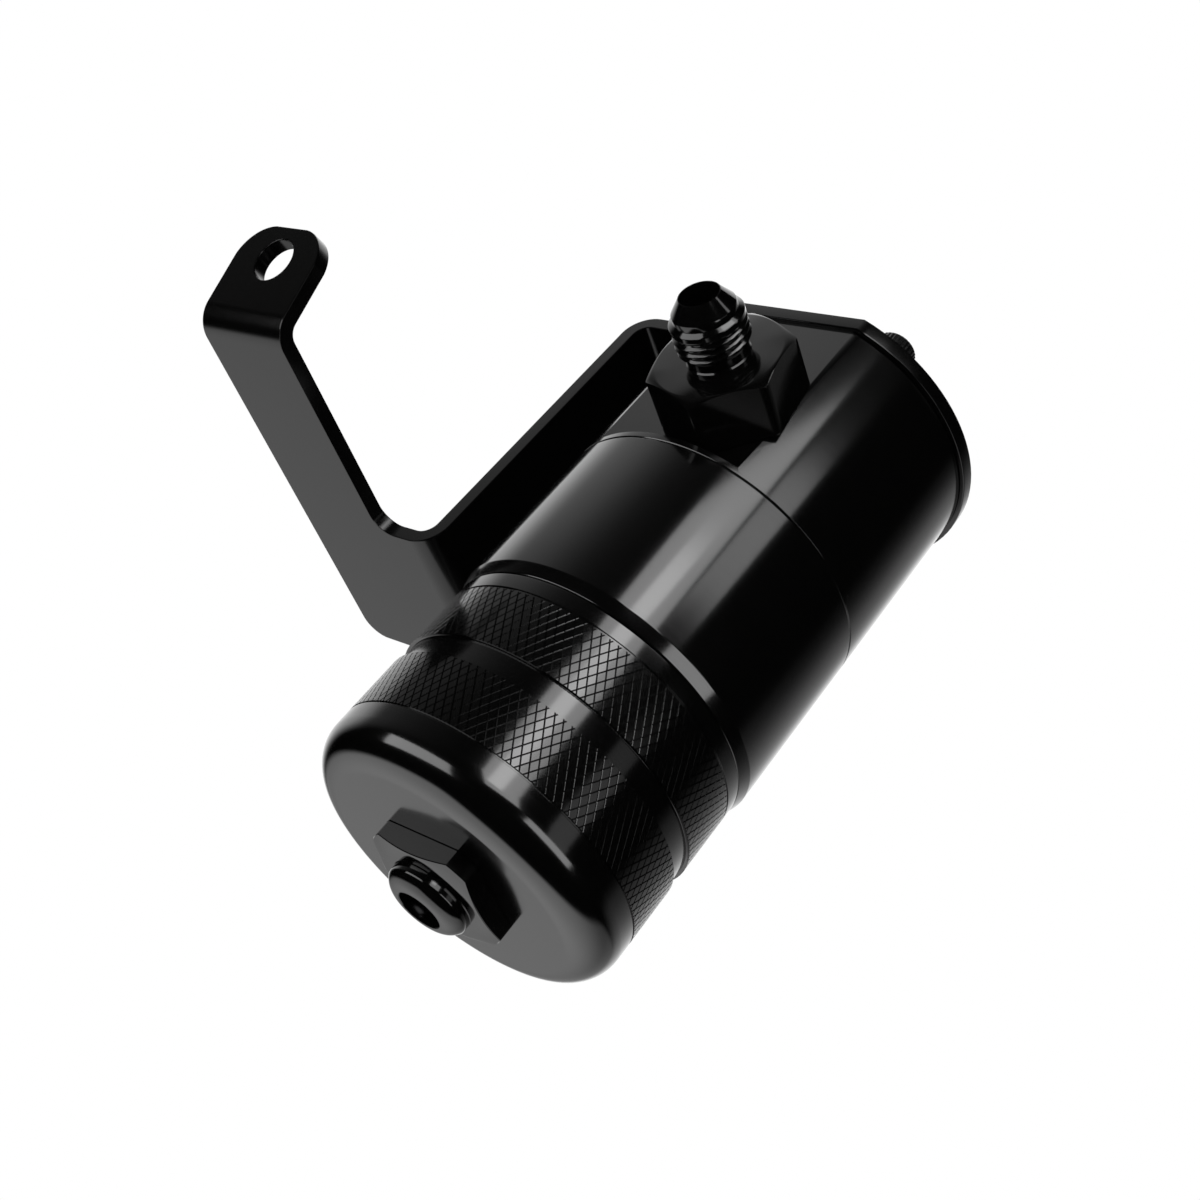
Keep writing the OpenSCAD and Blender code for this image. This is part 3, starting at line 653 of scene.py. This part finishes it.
# Camera, from the fit to the photograph
FOCAL_PX = 1680.7
FRAME_PX = 1200
SENSOR_W = 36
CLIP_NEAR = 10
CLIP_FAR = 20000
CAMERA_PLACE = (187.42, -208.11, -168.90)
CAMERA_TURN = (0.379023, 0.856737, 0.02529, 0.348861)
camera_data = bpy.data.cameras.new("photo_camera")
camera_data.sensor_width = SENSOR_W
camera_data.lens = SENSOR_W * FOCAL_PX / FRAME_PX
camera_data.clip_start = CLIP_NEAR * MM
camera_data.clip_end = CLIP_FAR * MM
camera = bpy.data.objects.new("photo_camera", camera_data)
scene.collection.objects.link(camera)
camera.rotation_mode = "QUATERNION"
camera.location = can_point(*CAMERA_PLACE)
camera.rotation_quaternion = CAMERA_TURN
scene.camera = camera

scene.view_settings.view_transform = "Standard"

# World: white to the camera. To everything else it is a studio whose walls stand behind the
# object and to its left and right, with a lit sheet below and behind it, and darkness in front.
# The walls' stops are (azimuth in degrees, level), and no level is above FULL_LEVEL.
FULL_LEVEL = 1.5
WALL_HIGH = [
    (-180, 1.3), (-170, 0.95), (-162, 0.72), (-145, 0.68), (-137, 0.6), (-129, 0.44), (-120, 0.28),
    (-112, 0.15), (-103, 0.08), (-92, 0.04), (-80, 0.0), (44, 0.0), (49, 0.02), (57, 0.06), (66, 0.17),
    (74, 0.3), (90, 0.48), (98, 0.65), (107, 0.95), (118, 1.15), (180, 1.3)
]
WALL_LOW = [
    (-180, 1.1), (-172, 0.85), (-165, 0.4), (-160, 0.2), (-140, 0.12), (-120, 0.06), (-105, 0.03),
    (-90, 0.0), (38, 0.0), (44, 0.06), (50, 0.18), (57, 0.24), (66, 0.35), (74, 0.45), (82, 0.6),
    (90, 0.75), (98, 0.9), (107, 1.05), (118, 1.1), (180, 1.1)
]
# The ray heights, from -1 to 1, between which the walls begin, the low stops give way to the
# high ones and the walls brighten by CROWN_GAIN, and between which the sheet gets its two levels
WALL_FOOT = (-0.08, 0.22)
WALL_CHANGE = (0.34, 0.54)
WALL_CROWN = (0.53, 0.66)
CROWN_GAIN = 1.35
SHEET_HEIGHTS = (-0.1, -0.95)
SHEET_LEVELS = (0.42, 2.1)
# How far a ray goes along two directions where the sheet begins and where it is full
SHEET_NEAR = (0.5, 0.62)
SHEET_SIDE = (-0.03, 0.15)
SHEET_AZIMUTH = math.radians(105)
SHEET_WAY = Vector((math.cos(SHEET_AZIMUTH), math.sin(SHEET_AZIMUTH), -1)).normalized()
SHEET_EDGE_AZIMUTH = math.radians(140)
SHEET_EDGE_WAY = Vector((math.cos(SHEET_EDGE_AZIMUTH), math.sin(SHEET_EDGE_AZIMUTH), 0))
WHITE = (1, 1, 1, 1)


def camera_share(tree):
    """1 for a camera ray, and 0 for any other."""
    return linked(tree, "ShaderNodeLightPath", {}).outputs["Is Camera Ray"]


def combine(tree, operation, first, second):
    return linked(tree, "ShaderNodeMath", {0: first, 1: second}, operation=operation).outputs[0]


def between(tree, value, low, high, at_low=0.0, at_high=1.0):
    """A smooth step of a value."""
    step = linked(
        tree, "ShaderNodeMapRange",
        {"Value": value, "From Min": low, "From Max": high, "To Min": at_low, "To Max": at_high},
        interpolation_type="SMOOTHSTEP")
    return step.outputs["Result"]


def wall(tree, azimuth_part, stops):
    """Level by azimuth, as a colour and as a share of FULL_LEVEL."""
    ramp = linked(tree, "ShaderNodeValToRGB", {"Fac": azimuth_part})
    elements = ramp.color_ramp.elements
    elements.remove(elements[-1])
    for i, (azimuth, level) in enumerate(stops):
        place = (azimuth + 180) / 360
        stop = elements[0] if i == 0 else elements.new(place)
        stop.position = place
        stop.color = (*[level / FULL_LEVEL] * 3, 1)
    return ramp.outputs["Color"]


def studio_level(tree):
    """How bright the studio is where a ray goes."""
    ray_way = linked(tree, "ShaderNodeTexCoord", {}).outputs["Generated"]

    def along(direction):
        return linked(
            tree, "ShaderNodeVectorMath", {0: ray_way, 1: direction}, operation="DOT_PRODUCT"
        ).outputs["Value"]

    gradient = linked(tree, "ShaderNodeTexGradient", {"Vector": ray_way}, gradient_type="RADIAL")
    azimuth_part = gradient.outputs["Fac"]
    height = along(Vector((0, 0, 1)))
    walls = linked(
        tree, "ShaderNodeMixRGB", {
            "Fac": between(tree, height, *WALL_CHANGE),
            "Color1": wall(tree, azimuth_part, WALL_LOW),
            "Color2": wall(tree, azimuth_part, WALL_HIGH)
        }).outputs["Color"]
    foot = between(tree, height, *WALL_FOOT, 0.0, FULL_LEVEL)
    crown = between(tree, height, *WALL_CROWN, 1.0, CROWN_GAIN)
    wall_level = combine(tree, "MULTIPLY", combine(tree, "MULTIPLY", walls, foot), crown)
    depth = between(tree, height, *SHEET_HEIGHTS, *SHEET_LEVELS)
    near = between(tree, along(SHEET_WAY), *SHEET_NEAR)
    side = between(tree, along(SHEET_EDGE_WAY), *SHEET_SIDE)
    sheet_level = combine(tree, "MULTIPLY", combine(tree, "MULTIPLY", depth, near), side)
    return combine(tree, "MAXIMUM", wall_level, sheet_level)


def add_world():
    world = bpy.data.worlds.new("studio")
    scene.world = world
    world.use_nodes = True
    tree = world.node_tree
    tree.nodes.clear()
    room = linked(tree, "ShaderNodeBackground", {"Color": WHITE, "Strength": studio_level(tree)})
    white = linked(tree, "ShaderNodeBackground", {"Color": WHITE})
    mix = linked(
        tree, "ShaderNodeMixShader", {0: camera_share(tree), 1: room.outputs[0], 2: white.outputs[0]})
    linked(tree, "ShaderNodeOutputWorld", {"Surface": mix.outputs[0]})


add_world()

# Lamps
LAMP_AIM = can_point(0, 0, -10)


def softbox(name, azimuth, elevation, distance, width, height, level, roll=0.0):
    """A rectangular lamp that faces the can, seen from it in a direction in degrees. Sizes are in
    millimetres, level is how bright it looks, where 1 is white, and roll turns it about its own
    axis, in degrees."""
    data = bpy.data.lights.new(name, "AREA")
    data.shape = "RECTANGLE"
    data.size = width * MM
    data.size_y = height * MM
    data.energy = level * math.pi * data.size * data.size_y
    lamp = bpy.data.objects.new(name, data)
    scene.collection.objects.link(lamp)
    turn = math.radians(azimuth)
    rise = math.radians(elevation)
    across = distance * math.cos(rise)
    lamp.location = can_point(across * math.cos(turn), across * math.sin(turn), distance * math.sin(rise))
    facing = (LAMP_AIM - lamp.location).to_track_quat("-Z", "Y")
    lamp.rotation_mode = "QUATERNION"
    lamp.rotation_quaternion = facing @ Quaternion((0, 0, 1), math.radians(roll))
    lamp.visible_camera = False


softbox("key_wide", -58.5, 15, 900, 420, 700, 4.7, 14)
softbox("key_core", -61, 16, 890, 165, 430, 4.5)
softbox("right_high", -36.5, 31.5, 900, 250, 125, 3.1)
softbox("right_faint", -11, 8, 900, 260, 400, 0.8)
softbox("right_low", -15, -14, 600, 410, 150, 4.5)
softbox("left_low", -114, -28, 450, 370, 155, 4.3, -12)

# Floor: pale, below what the photo's camera sees, and to any camera more even than its light
FLOOR_Z = -330
FLOOR_R = 2500
FLOOR_SEGMENTS = 64
FLOOR_COLOR = (0.8, 0.8, 0.8)
FLOOR_ROUGHNESS = 0.9
FLOOR_SEEN = (0.93, 0.93, 0.93, 1)
FLOOR_EVEN = 0.8


def floor_material():
    material = new_material("pale_floor", FLOOR_COLOR, FLOOR_ROUGHNESS)
    tree = material.node_tree
    glow = linked(tree, "ShaderNodeEmission", {"Color": FLOOR_SEEN})
    lit = tree.nodes["Principled BSDF"]
    share = combine(tree, "MULTIPLY", camera_share(tree), FLOOR_EVEN)
    even = linked(tree, "ShaderNodeMixShader", {0: share, 1: lit.outputs[0], 2: glow.outputs[0]})
    tree.links.new(even.outputs[0], tree.nodes["Material Output"].inputs["Surface"])
    return material


def add_floor():
    mesh = bpy.data.meshes.new("floor")
    bm = bmesh.new()
    bmesh.ops.create_circle(bm, cap_ends=True, segments=FLOOR_SEGMENTS, radius=FLOOR_R * MM)
    bm.to_mesh(mesh)
    bm.free()
    mesh.materials.append(floor_material())
    floor = bpy.data.objects.new("floor", mesh)
    scene.collection.objects.link(floor)
    floor.location = can_point(0, 0, FLOOR_Z)
    floor.visible_glossy = False


add_floor()
